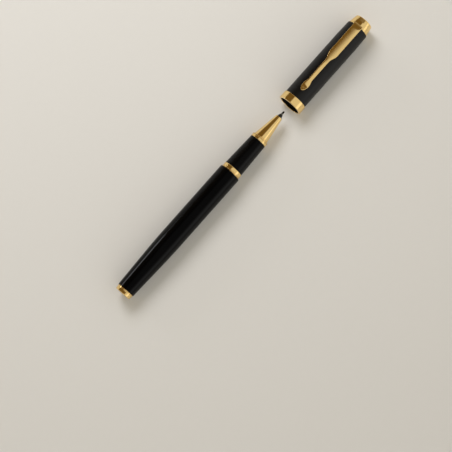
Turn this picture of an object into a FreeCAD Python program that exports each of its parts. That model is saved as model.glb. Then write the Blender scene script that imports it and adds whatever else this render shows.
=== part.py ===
"""Rollerball pen with its cap drawn off in line: one solid per physical piece.

Frame: the origin is the centre of the tail's flat end, X runs along the pen to the point, and +Z
is up, on the clip's side. All sizes are in millimetres.
"""

import FreeCAD, Part
import math
import os

# Overall stations along X, measured from the tail face.
BODY_LENGTH = 122.0
POINT_SHOWING = 4.0
CONE_LENGTH = 14.35
NOSE_RING_LENGTH = 1.85
GRIP_LENGTH = 18.6
JOINT_RING_LENGTH = 2.65
TAIL_RING_LENGTH = 2.6

CONE_FRONT = BODY_LENGTH - POINT_SHOWING
CONE_BASE = CONE_FRONT - CONE_LENGTH
GRIP_FRONT = CONE_BASE - NOSE_RING_LENGTH
GRIP_REAR = GRIP_FRONT - GRIP_LENGTH
JOINT_PLANE = GRIP_REAR - JOINT_RING_LENGTH

# Outside radii of the writing end and the barrel.
CONE_FRONT_R = 1.8
CONE_BASE_R = 4.0
NOSE_RING_R = 4.65
GRIP_FRONT_R = 4.5
GRIP_REAR_R = 5.15
JOINT_RING_R = 5.35
BARREL_R = 5.85
BARREL_TAIL_R = 4.8
TAIL_RING_R = 4.6
EDGE = 0.25
# The seams of the turned pieces lie this many degrees round from the line the pen rests on.
SEAM_ROLL = 7.0

# Section core: the threaded tube that the grip, rings and cone are built on.
CORE_BORE_R = 3.4
CORE_R = 3.9
SPIGOT_R = 4.1
SPIGOT_LENGTH = 12.5
SPIGOT_CLEARANCE = 0.1
CONE_SPIGOT_LENGTH = 6.5
CONE_SPIGOT_BORE_R = 2.9
CONE_MOUTH_R = 1.65
CONE_MOUTH_LENGTH = 1.7
SEAL_WIRE_R = 0.2
SEAL_RING_R = 3.95
SEAL_SETBACK = 2.5

# Barrel shell, thread bush and tail.
FACE_GAP = 0.05
BARREL_WALL = 0.55
BUSH_R = 4.9
BUSH_LENGTH = 10.0
BARREL_BORE_R = 4.3
SPRING_CHAMBER_R = 3.6
SPRING_CHAMBER_END = 27.0
TAIL_SOCKET_R = 3.3
TAPER_START = 38.0
TAPER_KNEE = 31.0
TAPER_END = 24.0
PLUG_LENGTH = 11.7
PLUG_HEAD_R = 2.9

# Refill.
REFILL_LENGTH = 98.0
REFILL_R = 3.1
REFILL_BORE_R = 2.75
REFILL_STOP_GAP = 0.1
REAR_PLUG_LENGTH = 4.0
RESERVOIR_MARGIN = 2.0
COLLAR_ROOT_R = 2.5
COLLAR_TAPER_START = 106.0
COLLAR_NECK_R = 1.35
COLLAR_NECK_START = 116.5
COLLAR_NECK_END = 118.3
COLLAR_TIP_R = 0.8
COLLAR_TIP = 119.8
COLLAR_SOCKET_LENGTH = 3.0
FEED_R = 0.45
FEED_START = 92.0
HOUSING_R = 0.65
HOUSING_LIP_R = 0.42
HOUSING_CONE_START = 120.3
HOUSING_LIP_PAST_CENTRE = 0.1
HOUSING_DUCT_R = 0.2
BALL_R = 0.35
BALL_CLEARANCE = 0.015

# Spring behind the refill.
SPRING_R = 2.5
SPRING_WIRE_R = 0.25
SPRING_TURNS = 7
SPRING_END_GAP = 0.15

# Cap. Stations are distances from the mouth towards the crown.
CAP_REST_GAP = 4.0
CAP_LENGTH = 57.5
CAP_MOUTH = BODY_LENGTH + CAP_REST_GAP
CAP_R = 6.25
CAP_TOP_R = 6.0
CAP_BORE_R = 5.65
CAP_TAPER_START = 44.0
CAP_SHELL_END = 52.2
CAP_SHELL_TOP = 1.0
BAND_R = 6.65
BAND_LENGTH = 4.2
BAND_SEAT_R = 6.0
BAND_LIP = 0.5
LINER_START = 14.0
LINER_STEP = 18.0
LINER_NARROW = 26.0
LINER_MOUTH_R = 5.0
LINER_GRIP_R = 4.75
LINER_BORE_R = 4.4
LINER_CLOSED = 45.0
LINER_END = 46.5
NUT_START = 46.7
NUT_R = 5.65
SCREW_HEAD_R = 2.2
SCREW_HEAD_LENGTH = 1.5
SCREW_SHANK_R = 1.3
SCREW_HEAD_GAP = 0.1
SCREW_END = 55.6
CROWN_START = 52.8
CROWN_BASE_R = 5.6
CROWN_TOP_R = 4.85
CROWN_RIM = 0.55
CROWN_DISH = 0.45

# Clip. Heights are distances from the cap's axis; widths are full widths across Y.
CLIP_COLLAR_R = 5.75
CLIP_COLLAR_TAB = 6.6
CLIP_COLLAR_TAB_WIDTH = 4.4
CLIP_ROOT = 6.75
CLIP_THICK = 0.8
CLIP_UNDER = 7.2
CLIP_PAD_UNDER = 6.55
CLIP_TIP = 8.4
CLIP_TOE_LIFT = 0.7
CLIP_PAD_END = 15.2
CLIP_SHAFT_END = 28.2
CLIP_PLATE_START = 33.1
CLIP_PLATE_END = 47.5
CLIP_PLATE_WIDTH = 4.8
CLIP_ROOT_WIDTH = 4.4
CLIP_SHAFT_WIDTH = 2.2
CLIP_PAD_WIDTH = 3.4

ORIGIN = FreeCAD.Vector(0, 0, 0)
ALONG_X = FreeCAD.Vector(1, 0, 0)


def at(x, r):
    """Point in the XZ plane at station x and radius r above the pen's axis."""
    return FreeCAD.Vector(x, 0, r)


def turned(edges_or_points):
    """Solid of revolution about the pen's axis from a closed outline of (x, r) points or edges."""
    if isinstance(edges_or_points[0], tuple):
        corners = [at(x, r) for x, r in edges_or_points]
        outline = Part.makePolygon(corners + corners[:1])
    else:
        outline = Part.Wire(Part.__sortEdges__(edges_or_points))
    face = Part.Face(outline)
    face.rotate(ORIGIN, ALONG_X, SEAM_ROLL)
    return face.revolve(ORIGIN, ALONG_X, 360)


def rod(x0, x1, r):
    return turned([(x0, 0), (x0, r), (x1, r), (x1, 0)])


def sleeve(outer, inner):
    """Hollow turned piece: outer outline forwards, bore outline back."""
    return turned(outer + inner[::-1])


def rounded(solid, radius, stations):
    """Rounds the circular edges of a turned solid that lie at the given (x, r) stations."""
    chosen = []
    for edge in solid.Edges:
        curve = None if edge.Degenerated else edge.Curve
        if not isinstance(curve, Part.Circle):
            continue
        for x, r in stations:
            if abs(curve.Center.x - x) < 1e-4 and abs(curve.Radius - r) < 1e-4:
                chosen.append(edge)
    return solid.makeFillet(radius, chosen)


def capped(offset):
    """Station along X of a distance from the cap's mouth."""
    return CAP_MOUTH + offset


# Section: the writing end that the hand holds.

def section_core():
    rear = JOINT_PLANE - SPIGOT_LENGTH
    outer = [
        (rear, SPIGOT_R),
        (GRIP_REAR, SPIGOT_R),
        (GRIP_REAR, CORE_R),
        (CONE_BASE, CORE_R),
    ]
    tube = sleeve(outer, [(rear, CORE_BORE_R), (CONE_BASE, CORE_BORE_R)])
    return tube.cut(seal_ring())


def seal_ring():
    centre = FreeCAD.Vector(JOINT_PLANE - SEAL_SETBACK, 0, 0)
    return Part.makeTorus(SEAL_RING_R, SEAL_WIRE_R, centre, ALONG_X)


def section_grip():
    outer = [(GRIP_REAR, GRIP_REAR_R), (GRIP_FRONT, GRIP_FRONT_R)]
    grip = sleeve(outer, [(GRIP_REAR, CORE_R), (GRIP_FRONT, CORE_R)])
    return rounded(grip, EDGE, outer)


def nose_ring():
    outer = [(GRIP_FRONT, NOSE_RING_R), (CONE_BASE, NOSE_RING_R)]
    ring = sleeve(outer, [(GRIP_FRONT, CORE_R), (CONE_BASE, CORE_R)])
    return rounded(ring, EDGE, outer)


def joint_ring():
    outer = [(JOINT_PLANE, JOINT_RING_R), (GRIP_REAR, JOINT_RING_R)]
    ring = sleeve(outer, [(JOINT_PLANE, SPIGOT_R), (GRIP_REAR, SPIGOT_R)])
    return rounded(ring, EDGE, outer)


def nose_cone():
    rear = CONE_BASE - CONE_SPIGOT_LENGTH
    mouth = CONE_FRONT - CONE_MOUTH_LENGTH
    outer = [
        (rear, CORE_BORE_R),
        (CONE_BASE, CORE_BORE_R),
        (CONE_BASE, CONE_BASE_R),
        (CONE_FRONT, CONE_FRONT_R),
    ]
    inner = [
        (rear, CONE_SPIGOT_BORE_R),
        (COLLAR_TAPER_START - 1, CONE_SPIGOT_BORE_R),
        (mouth, CONE_MOUTH_R),
        (CONE_FRONT, CONE_MOUTH_R),
    ]
    return sleeve(outer, inner)


# Barrel: the shell that unscrews from the section.

def barrel_lining_outline():
    """Line where the metal shell meets its plastic lining, from mouth to tail."""
    return [
        (JOINT_PLANE - FACE_GAP, BARREL_R - BARREL_WALL),
        (TAPER_KNEE, BARREL_R - BARREL_WALL),
        (TAIL_RING_LENGTH, BARREL_TAIL_R - BARREL_WALL),
    ]


def barrel_shell():
    mouth = JOINT_PLANE - FACE_GAP
    tail = at(TAIL_RING_LENGTH, BARREL_TAIL_R)
    front = at(mouth, BARREL_R)
    slope = (BARREL_R - BARREL_TAIL_R) / (TAPER_KNEE - TAIL_RING_LENGTH)
    taper_end = at(TAPER_END, BARREL_R - slope * (TAPER_KNEE - TAPER_END))
    shoulder = Part.BezierCurve()
    shoulder.setPoles([taper_end, at(TAPER_KNEE, BARREL_R), at(TAPER_START, BARREL_R)])
    inside = [at(x, r) for x, r in barrel_lining_outline()]
    edges = list(Part.makePolygon([front] + inside + [tail, taper_end]).Edges)
    edges.append(shoulder.toShape())
    edges.append(Part.makeLine(at(TAPER_START, BARREL_R), front))
    return rounded(turned(edges), EDGE, [(mouth, BARREL_R)])


def barrel_lining():
    mouth = JOINT_PLANE - FACE_GAP
    bush_end = mouth - FACE_GAP - BUSH_LENGTH
    bore = [
        (TAIL_RING_LENGTH, TAIL_SOCKET_R),
        (PLUG_LENGTH, TAIL_SOCKET_R),
        (PLUG_LENGTH, SPRING_CHAMBER_R),
        (SPRING_CHAMBER_END, SPRING_CHAMBER_R),
        (TAPER_KNEE, BARREL_BORE_R),
        (bush_end, BARREL_BORE_R),
        (bush_end, BUSH_R),
        (mouth, BUSH_R),
    ]
    return sleeve(barrel_lining_outline()[::-1], bore)


def barrel_thread_bush():
    front = JOINT_PLANE - 2 * FACE_GAP
    rear = front - BUSH_LENGTH
    bore = SPIGOT_R + SPIGOT_CLEARANCE
    return sleeve([(rear, BUSH_R), (front, BUSH_R)], [(rear, bore), (front, bore)])


def tail_ring():
    outer = [(0, TAIL_RING_R), (TAIL_RING_LENGTH, TAIL_RING_R)]
    ring = sleeve(outer, [(0, PLUG_HEAD_R), (TAIL_RING_LENGTH, PLUG_HEAD_R)])
    return rounded(ring, 2 * EDGE, outer[:1])


def tail_plug():
    outline = [
        (0, 0),
        (0, PLUG_HEAD_R),
        (TAIL_RING_LENGTH, PLUG_HEAD_R),
        (TAIL_RING_LENGTH, TAIL_SOCKET_R),
        (PLUG_LENGTH, TAIL_SOCKET_R),
        (PLUG_LENGTH, 0),
    ]
    return turned(outline)


def refill_spring():
    start = PLUG_LENGTH + SPRING_END_GAP + SPRING_WIRE_R
    end = BODY_LENGTH - REFILL_LENGTH - SPRING_END_GAP - SPRING_WIRE_R
    helix = Part.makeHelix((end - start) / SPRING_TURNS, end - start, SPRING_R)
    wire_end = Part.Circle(FreeCAD.Vector(SPRING_R, 0, 0), FreeCAD.Vector(0, 1, 0), SPRING_WIRE_R)
    coil = Part.Wire(helix).makePipeShell([Part.Wire(wire_end.toShape())], True, True)
    coil.rotate(ORIGIN, FreeCAD.Vector(0, 1, 0), 90)
    coil.translate(FreeCAD.Vector(start, 0, 0))
    return coil


# Refill: an exchangeable cartridge with its own point.

REFILL_REAR = BODY_LENGTH - REFILL_LENGTH
REFILL_FRONT = CONE_BASE - CONE_SPIGOT_LENGTH - REFILL_STOP_GAP


def refill_tube():
    ends = [(REFILL_REAR, REFILL_R), (REFILL_FRONT, REFILL_R)]
    return sleeve(ends, [(REFILL_REAR, REFILL_BORE_R), (REFILL_FRONT, REFILL_BORE_R)])


def refill_rear_plug():
    return rod(REFILL_REAR, REFILL_REAR + REAR_PLUG_LENGTH, REFILL_BORE_R)


def ink_reservoir():
    start = REFILL_REAR + REAR_PLUG_LENGTH + RESERVOIR_MARGIN
    return rod(start, FEED_START, REFILL_BORE_R)


def refill_collar():
    socket = COLLAR_TIP - COLLAR_SOCKET_LENGTH
    outer = [
        (FEED_START, REFILL_BORE_R),
        (REFILL_FRONT, REFILL_BORE_R),
        (REFILL_FRONT, COLLAR_ROOT_R),
        (COLLAR_TAPER_START, COLLAR_ROOT_R),
        (COLLAR_NECK_START, COLLAR_NECK_R),
        (COLLAR_NECK_END, COLLAR_NECK_R),
        (COLLAR_TIP, COLLAR_TIP_R),
    ]
    inner = [
        (FEED_START, FEED_R),
        (socket, FEED_R),
        (socket, HOUSING_R),
        (COLLAR_TIP, HOUSING_R),
    ]
    return sleeve(outer, inner)


def ink_feed():
    return rod(FEED_START, COLLAR_TIP - COLLAR_SOCKET_LENGTH, FEED_R)


def point_housing():
    rear = COLLAR_TIP - COLLAR_SOCKET_LENGTH
    ball_x = BODY_LENGTH - BALL_R
    lip = ball_x + HOUSING_LIP_PAST_CENTRE
    outer = [
        (rear, HOUSING_R),
        (HOUSING_CONE_START, HOUSING_R),
        (lip, HOUSING_LIP_R),
    ]
    body = turned([(rear, 0)] + outer + [(lip, 0)])
    duct = rod(rear, ball_x, HOUSING_DUCT_R)
    socket = Part.makeSphere(BALL_R + BALL_CLEARANCE, FreeCAD.Vector(ball_x, 0, 0))
    return body.cut(duct).cut(socket)


def writing_ball():
    return Part.makeSphere(BALL_R, FreeCAD.Vector(BODY_LENGTH - BALL_R, 0, 0))


# Cap.

def cap_shell():
    seat = capped(BAND_LENGTH)
    end = capped(CAP_SHELL_END)
    inside_end = end - CAP_SHELL_TOP
    outer = [
        (capped(BAND_LIP), BAND_SEAT_R),
        (seat, BAND_SEAT_R),
        (seat, CAP_R),
        (capped(CAP_TAPER_START), CAP_R),
        (end, CAP_TOP_R),
    ]
    inner = [
        (capped(BAND_LIP), CAP_BORE_R),
        (inside_end, CAP_BORE_R),
        (inside_end, SCREW_SHANK_R),
        (end, SCREW_SHANK_R),
    ]
    return sleeve(outer, inner)


def cap_mouth_band():
    outer = [(capped(0), BAND_R), (capped(BAND_LENGTH), BAND_R)]
    inner = [
        (capped(0), CAP_BORE_R),
        (capped(BAND_LIP), CAP_BORE_R),
        (capped(BAND_LIP), BAND_SEAT_R),
        (capped(BAND_LENGTH), BAND_SEAT_R),
    ]
    return rounded(sleeve(outer, inner), EDGE, outer)


def cap_liner():
    start = capped(LINER_START)
    step = capped(LINER_STEP)
    narrow = capped(LINER_NARROW)
    outline = [
        (start, LINER_MOUTH_R),
        (start, CAP_BORE_R),
        (capped(LINER_END), CAP_BORE_R),
        (capped(LINER_END), 0),
        (capped(LINER_CLOSED), 0),
        (capped(LINER_CLOSED), LINER_BORE_R),
        (narrow, LINER_BORE_R),
        (narrow, LINER_GRIP_R),
        (step, LINER_GRIP_R),
    ]
    return turned(outline)


def crown_nut():
    start = capped(NUT_START)
    end = capped(CAP_SHELL_END) - CAP_SHELL_TOP
    head = start + SCREW_HEAD_LENGTH + SCREW_HEAD_GAP
    head_r = SCREW_HEAD_R + SCREW_HEAD_GAP
    inner = [(start, head_r), (head, head_r), (head, SCREW_SHANK_R), (end, SCREW_SHANK_R)]
    return sleeve([(start, NUT_R), (end, NUT_R)], inner)


def crown_screw():
    head = capped(NUT_START) + SCREW_HEAD_GAP
    shank = head + SCREW_HEAD_LENGTH
    outline = [
        (head, 0),
        (head, SCREW_HEAD_R),
        (shank, SCREW_HEAD_R),
        (shank, SCREW_SHANK_R),
        (capped(SCREW_END), SCREW_SHANK_R),
        (capped(SCREW_END), 0),
    ]
    return turned(outline)


def cap_crown():
    base = capped(CROWN_START)
    top = capped(CAP_LENGTH)
    rim_r = CROWN_TOP_R - CROWN_RIM
    dish = Part.Arc(at(top, rim_r), at(top - CROWN_DISH, 0), at(top, -rim_r))
    half_dish = Part.Edge(dish, dish.FirstParameter, (dish.FirstParameter + dish.LastParameter) / 2)
    corners = [
        at(top, rim_r),
        at(top, CROWN_TOP_R),
        at(base, CROWN_BASE_R),
        at(base, SCREW_SHANK_R),
        at(capped(SCREW_END), SCREW_SHANK_R),
        at(capped(SCREW_END), 0),
        at(top - CROWN_DISH, 0),
    ]
    edges = list(Part.makePolygon(corners).Edges) + [half_dish]
    crown = turned(edges)
    return rounded(crown, EDGE, [(top, CROWN_TOP_R), (base, CROWN_BASE_R)])


def clip_collar():
    start = capped(CAP_SHELL_END)
    end = capped(CROWN_START)
    disc = rod(start, end, CLIP_COLLAR_R)
    tab = Part.makeBox(
        end - start,
        CLIP_COLLAR_TAB_WIDTH,
        CLIP_COLLAR_TAB,
        FreeCAD.Vector(start, -CLIP_COLLAR_TAB_WIDTH / 2, 0),
    )
    return disc.fuse(tab).cut(rod(start, end, SCREW_SHANK_R)).removeSplitter()


def clip_side():
    """The clip's bent strip seen from the side, as wide as the whole clip."""
    pad_mid = (CLIP_TIP + CLIP_PAD_END) / 2
    front = capped(CROWN_START)
    under = [
        at(front, CLIP_ROOT),
        at(front - CLIP_THICK, CLIP_ROOT),
        at(capped(CLIP_PLATE_END), CLIP_UNDER),
        at(capped(CLIP_SHAFT_END), CLIP_UNDER),
        at(capped(pad_mid), CLIP_PAD_UNDER),
        at(capped(CLIP_TIP), CLIP_PAD_UNDER + CLIP_TOE_LIFT),
    ]
    lift = FreeCAD.Vector(0, 0, CLIP_THICK)
    over = [
        at(capped(CLIP_TIP), CLIP_PAD_UNDER + CLIP_TOE_LIFT) + lift * 0.5,
        at(capped(pad_mid), CLIP_PAD_UNDER) + lift,
        at(capped(CLIP_SHAFT_END), CLIP_UNDER) + lift,
        at(capped(CLIP_PLATE_END), CLIP_UNDER) + lift,
        at(front, CLIP_UNDER) + lift * 0.6,
    ]
    outline = Part.makePolygon(under + over + under[:1])
    half = CLIP_PLATE_WIDTH
    strip = Part.Face(outline).extrude(FreeCAD.Vector(0, 2 * half, 0))
    strip.translate(FreeCAD.Vector(0, -half, 0))
    return strip


def clip_plan():
    """The clip seen from above: a plate that steps in to a narrow stem and ends in a smooth spade."""
    root = capped(CROWN_START)
    half_plate = CLIP_PLATE_WIDTH / 2
    half_stem = CLIP_SHAFT_WIDTH / 2
    half_pad = CLIP_PAD_WIDTH / 2
    belly = capped(CLIP_PAD_END - (CLIP_PAD_END - CLIP_TIP) * 0.35)

    def side(sign):
        def p(x, y):
            return FreeCAD.Vector(x, sign * y, 0)

        spade = Part.BSplineCurve()
        spade.interpolate(
            Points=[p(capped(CLIP_PAD_END), half_stem), p(belly, half_pad), p(capped(CLIP_TIP), 0)],
            Tangents=[p(-1, 0.15), p(-1, 0), p(-0.35, -1)],
            TangentFlags=[True, True, True],
        )
        corners = [
            p(root, CLIP_ROOT_WIDTH / 2),
            p(capped(CLIP_PLATE_END), half_plate),
            p(capped(CLIP_PLATE_START), half_plate),
            p(capped(CLIP_SHAFT_END), half_stem),
            p(capped(CLIP_PAD_END), half_stem),
        ]
        return list(Part.makePolygon(corners).Edges) + [spade.toShape()]

    edges = side(1) + side(-1)
    ends = [FreeCAD.Vector(root, s * CLIP_ROOT_WIDTH / 2, 0) for s in (1, -1)]
    edges.append(Part.makeLine(*ends))
    outline = Part.Wire(Part.__sortEdges__(edges))
    return Part.Face(outline).extrude(FreeCAD.Vector(0, 0, 2 * CAP_R))


def clip_blade():
    return clip_side().common(clip_plan())


PIECES = {
    "section_core": section_core,
    "seal_ring": seal_ring,
    "section_grip": section_grip,
    "nose_ring": nose_ring,
    "nose_cone": nose_cone,
    "joint_ring": joint_ring,
    "barrel_shell": barrel_shell,
    "barrel_lining": barrel_lining,
    "barrel_thread_bush": barrel_thread_bush,
    "tail_ring": tail_ring,
    "tail_plug": tail_plug,
    "refill_spring": refill_spring,
    "refill_tube": refill_tube,
    "refill_rear_plug": refill_rear_plug,
    "ink_reservoir": ink_reservoir,
    "refill_collar": refill_collar,
    "ink_feed": ink_feed,
    "point_housing": point_housing,
    "writing_ball": writing_ball,
    "cap_shell": cap_shell,
    "cap_mouth_band": cap_mouth_band,
    "cap_liner": cap_liner,
    "crown_nut": crown_nut,
    "crown_screw": crown_screw,
    "cap_crown": cap_crown,
    "clip_collar": clip_collar,
    "clip_blade": clip_blade,
}

os.makedirs("parts", exist_ok=True)
for name, build in PIECES.items():
    shape = build()
    solids = shape.Solids
    if len(solids) != 1 or not shape.isValid():
        raise RuntimeError(f"{name}: {len(solids)} solids, valid {shape.isValid()}")
    solids[0].exportStep(f"parts/{name}.step")
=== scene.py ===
"""Rollerball pen with its cap drawn off in line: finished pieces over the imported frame.

Run as a script it builds every piece in order. Lengths are metres in the frame's own axes:
X runs from the tail to the point, Z is up on the clip's side.
"""

import math

import bmesh
import bpy
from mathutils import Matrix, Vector


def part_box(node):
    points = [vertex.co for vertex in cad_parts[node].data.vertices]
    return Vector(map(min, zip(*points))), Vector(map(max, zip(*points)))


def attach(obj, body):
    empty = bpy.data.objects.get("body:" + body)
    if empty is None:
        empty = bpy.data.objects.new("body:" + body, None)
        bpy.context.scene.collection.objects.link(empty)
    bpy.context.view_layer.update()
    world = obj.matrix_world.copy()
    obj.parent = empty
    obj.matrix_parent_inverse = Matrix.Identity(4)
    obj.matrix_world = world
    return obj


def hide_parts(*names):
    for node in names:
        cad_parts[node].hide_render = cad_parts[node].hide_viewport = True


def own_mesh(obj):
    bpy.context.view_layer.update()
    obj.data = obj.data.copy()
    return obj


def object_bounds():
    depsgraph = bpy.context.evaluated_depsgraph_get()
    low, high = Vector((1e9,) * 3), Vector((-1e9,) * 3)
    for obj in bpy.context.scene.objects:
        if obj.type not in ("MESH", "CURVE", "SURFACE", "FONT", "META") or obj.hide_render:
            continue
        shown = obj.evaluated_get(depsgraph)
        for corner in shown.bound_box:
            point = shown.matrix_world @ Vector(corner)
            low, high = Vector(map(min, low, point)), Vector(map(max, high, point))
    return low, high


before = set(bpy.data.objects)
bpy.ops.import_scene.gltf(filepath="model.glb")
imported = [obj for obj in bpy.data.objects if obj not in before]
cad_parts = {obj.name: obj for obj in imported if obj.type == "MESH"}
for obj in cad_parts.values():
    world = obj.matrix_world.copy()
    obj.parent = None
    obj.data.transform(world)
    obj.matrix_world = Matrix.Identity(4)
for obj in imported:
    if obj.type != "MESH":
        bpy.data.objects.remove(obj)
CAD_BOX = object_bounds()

bl_info = {
    "name": "Rollerball Pen",
    "version": (1, 0, 0),
    "blender": (4, 5, 0),
    "location": "View3D > Sidebar > Pen",
    "description": "Builds the finished pieces of a capped rollerball pen over its packed frame",
    "category": "Object",
}

MM = 0.001

# Points closer than this are one point, and faces that meet at a wider angle show an edge.
MERGE = 0.0001 * MM
SHARP = math.radians(32)

# Facets round a large turned piece, a small one and the writing ball.
FACETS = 176
SMALL_FACETS = 72
BALL_FACETS = 64

# Roundings of turned corners, from the lip that holds the ball to the crown's side.
LIP = 0.02 * MM
CRISP = 0.04 * MM
KEEN = 0.05 * MM
CLEAN = 0.06 * MM
BROKEN = 0.08 * MM
EASED = 0.1 * MM
SOFT = 0.12 * MM
SMOOTH = 0.15 * MM
FULL = 0.2 * MM
BLUNT = 0.3 * MM
GENTLE = 0.5 * MM
SWEPT = 1.2 * MM


# ---------------------------------------------------------------- sizes read from the frame

def span(node):
    """Start, end and outside radius of a turned CAD node."""
    low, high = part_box(node)
    return low[0], high[0], (high[1] - low[1]) / 2


def radius(node):
    return span(node)[2]


# ---------------------------------------------------------------- settings

def length(name, description, default):
    return bpy.props.FloatProperty(
        name=name, description=description, default=default, min=0.0, unit="LENGTH", precision=5
    )


def number(name, description, default, **kind):
    return bpy.props.FloatProperty(name=name, description=description, default=default, **kind)


def colour(name, description, default):
    return bpy.props.StringProperty(name=name, description=description, default=default)


class PenSizes(bpy.types.PropertyGroup):
    edge: length("Edge", "Rounding on the rims of rings, barrel and grip", 0.25 * MM)
    soft_edge: length("Soft edge", "Rounding on the tail ring and the crown's top", 0.45 * MM)
    bead: length("Bead", "Width of the bead on each plated ring", 0.6 * MM)
    groove: length("Groove", "Width of the groove beside the bead", 0.26 * MM)
    groove_depth: length("Groove depth", "Depth of the groove beside the bead", 0.22 * MM)
    tail_taper: length(
        "Tail ring taper", "How much the tail ring narrows to its flat end", 0.3 * MM
    )
    plug_head: length("Plug head", "Radius of the tail plug inside its ring", 2.9 * MM)
    taper_start: length("Taper start", "Where the barrel's straight part ends", 38 * MM)
    taper_knee: length("Taper knee", "Corner that the barrel's shoulder is drawn round", 31 * MM)
    taper_end: length("Taper end", "Where the barrel's tail cone begins", 24 * MM)
    tail_radius: length("Tail radius", "Barrel radius where it meets the tail ring", 4.8 * MM)
    barrel_wall: length("Barrel wall", "Thickness of the barrel's metal shell", 0.55 * MM)
    barrel_bore: length("Barrel bore", "Radius of the hollow in the barrel's lining", 4.3 * MM)
    chamber: length("Spring chamber", "Radius of the hollow round the spring", 3.6 * MM)
    chamber_end: length("Chamber end", "Where the spring chamber opens into the bore", 27 * MM)
    bush_bore: length("Bush bore", "Radius inside the crests of the bush's thread", 4.2 * MM)
    core_bore: length("Core bore", "Radius of the hole through the section", 3.4 * MM)
    core_body: length("Core body", "Radius of the core inside the grip", 3.9 * MM)
    thread_pitch: length("Thread pitch", "Distance between crests of the barrel thread", 0.8 * MM)
    thread_depth: length("Thread depth", "Height of the barrel thread", 0.2 * MM)
    cone_rear: length("Cone shoulder", "Radius of the nose cone where it meets its ring", 4.0 * MM)
    cone_front: length("Cone front", "Outside radius of the nose cone's front", 1.8 * MM)
    cone_bore: length("Cone bore", "Radius of the hole in the nose cone's front", 1.65 * MM)
    cone_mouth: length("Cone mouth", "Length of the straight hole in the cone's front", 1.7 * MM)
    cone_spigot_bore: length("Cone spigot bore", "Radius inside the cone's rear end", 2.9 * MM)
    cone_narrows: length("Cone narrows", "Where the hole in the cone begins to narrow", 105 * MM)
    refill_bore: length("Refill bore", "Inside radius of the refill's tube", 2.75 * MM)
    crimp: length("Crimp", "Depth of the crimps rolled in the refill's tube", 0.18 * MM)
    collar_root: length(
        "Collar root", "Radius of the refill's front where it leaves the tube", 2.5 * MM
    )
    collar_taper: length("Collar taper", "Where the refill's front begins to narrow", 106 * MM)
    collar_neck: length("Collar neck", "Radius of the neck behind the point", 1.35 * MM)
    neck_start: length("Neck start", "Where the neck behind the point begins", 116.5 * MM)
    neck_end: length("Neck end", "Where the neck behind the point ends", 118.3 * MM)
    collar_tip: length("Collar tip", "Radius of the refill's front round the point", 0.8 * MM)
    cap_bore: length("Cap bore", "Radius inside the cap's mouth", 5.65 * MM)
    cap_seat: length("Band seat", "Radius of the cap shell under its band", 6.0 * MM)
    cap_top: length("Cap top", "Radius of the cap shell under the clip", 6.0 * MM)
    cap_taper: length("Cap taper", "Distance from the mouth to where the cap narrows", 44 * MM)
    liner_mouth: length("Inner cap mouth", "Radius of the inner cap's mouth", 5.0 * MM)
    liner_grip: length(
        "Inner cap grip", "Radius where the inner cap holds the nose ring", 4.75 * MM
    )
    liner_bore: length("Inner cap bore", "Radius of the inner cap past its grip", 4.4 * MM)
    liner_step: length("Inner cap step", "Distance from the mouth to the inner cap's grip", 18 * MM)
    liner_narrow: length(
        "Inner cap shoulder", "Distance from the mouth to the end of its grip", 26 * MM
    )
    liner_closed: length(
        "Inner cap end", "Distance from the mouth to the inner cap's closed end", 45 * MM
    )
    screw_shank: length("Screw shank", "Radius of the screw that holds the crown", 1.3 * MM)
    crown_side: length("Crown side", "Distance from the crown's base to its shoulder", 2.4 * MM)
    crown_lean: length("Crown lean", "How much the crown narrows to its shoulder", 0.22 * MM)
    crown_top: length("Crown top", "Radius of the crown's flat rim", 4.85 * MM)
    crown_rim: length("Crown rim", "Width of the flat rim round the crown's dish", 0.55 * MM)
    crown_dish: length("Crown dish", "Depth of the dish in the crown", 0.75 * MM)
    clip_thick: length("Clip thickness", "Thickness of the clip's strip", 0.8 * MM)
    clip_stem: length("Clip stem", "Width of the clip's narrow stem", 2.2 * MM)
    clip_spade: length("Clip spade", "Width of the clip's rounded end", 3.4 * MM)
    clip_lift: length("Clip lift", "Height of the clip's underside over the pen's axis", 7.2 * MM)
    clip_tab: length("Clip tab", "Width of the tab that the clip hangs from", 4.4 * MM)
    spring_wire: length("Spring wire", "Radius of the spring's wire", 0.25 * MM)
    spring_turns: number("Spring turns", "Turns of the spring", 8.0, min=2.0)


class PenColours(bpy.types.PropertyGroup):
    gold: colour("Gold", "Gold plating", "#FBDC9A")
    gold_deep: colour("Deep gold", "Thin places in the plating", "#F3CF88")
    barrel: colour("Barrel", "Gloss lacquer", "#020202")
    cap: colour("Cap", "Satin lacquer", "#070708")
    grip: colour("Grip", "Moulded grip", "#040404")
    steel: colour("Steel", "Turned steel", "#A9A8A4")
    brass: colour("Brass", "Bare turned brass", "#C9A35C")
    lining: colour("Lining", "Moulded inner parts", "#1B1B1D")
    ink: colour("Ink", "Ink in the fibre", "#12131F")
    floor: colour("Floor", "Stage floor", "#E6E5E0")


class PenStage(bpy.types.PropertyGroup):
    azimuth: number("Azimuth", "Camera's turn about Z", math.radians(-48.8), subtype="ANGLE")
    elevation: number(
        "Elevation", "Camera's height over the horizon", math.radians(82), subtype="ANGLE"
    )
    distance: length("Distance", "Camera's distance from its aim", 0.8)
    aim_along: length("Aim along", "Aim's station along the pen", 59.1 * MM)
    aim_beside: length("Aim beside", "Aim's distance in front of the pen's axis", 16.2 * MM)
    focal: number("Lens", "Focal length in millimetres", 128.4)
    key: number("Key light", "Power of the large soft light", 3.0, subtype="POWER")
    sky: number("Sky", "Strength of the studio's walls", 1.0)


def sizes():
    return bpy.context.scene.pen_sizes


def colours():
    return bpy.context.scene.pen_colours


# ---------------------------------------------------------------- nodes

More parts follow.
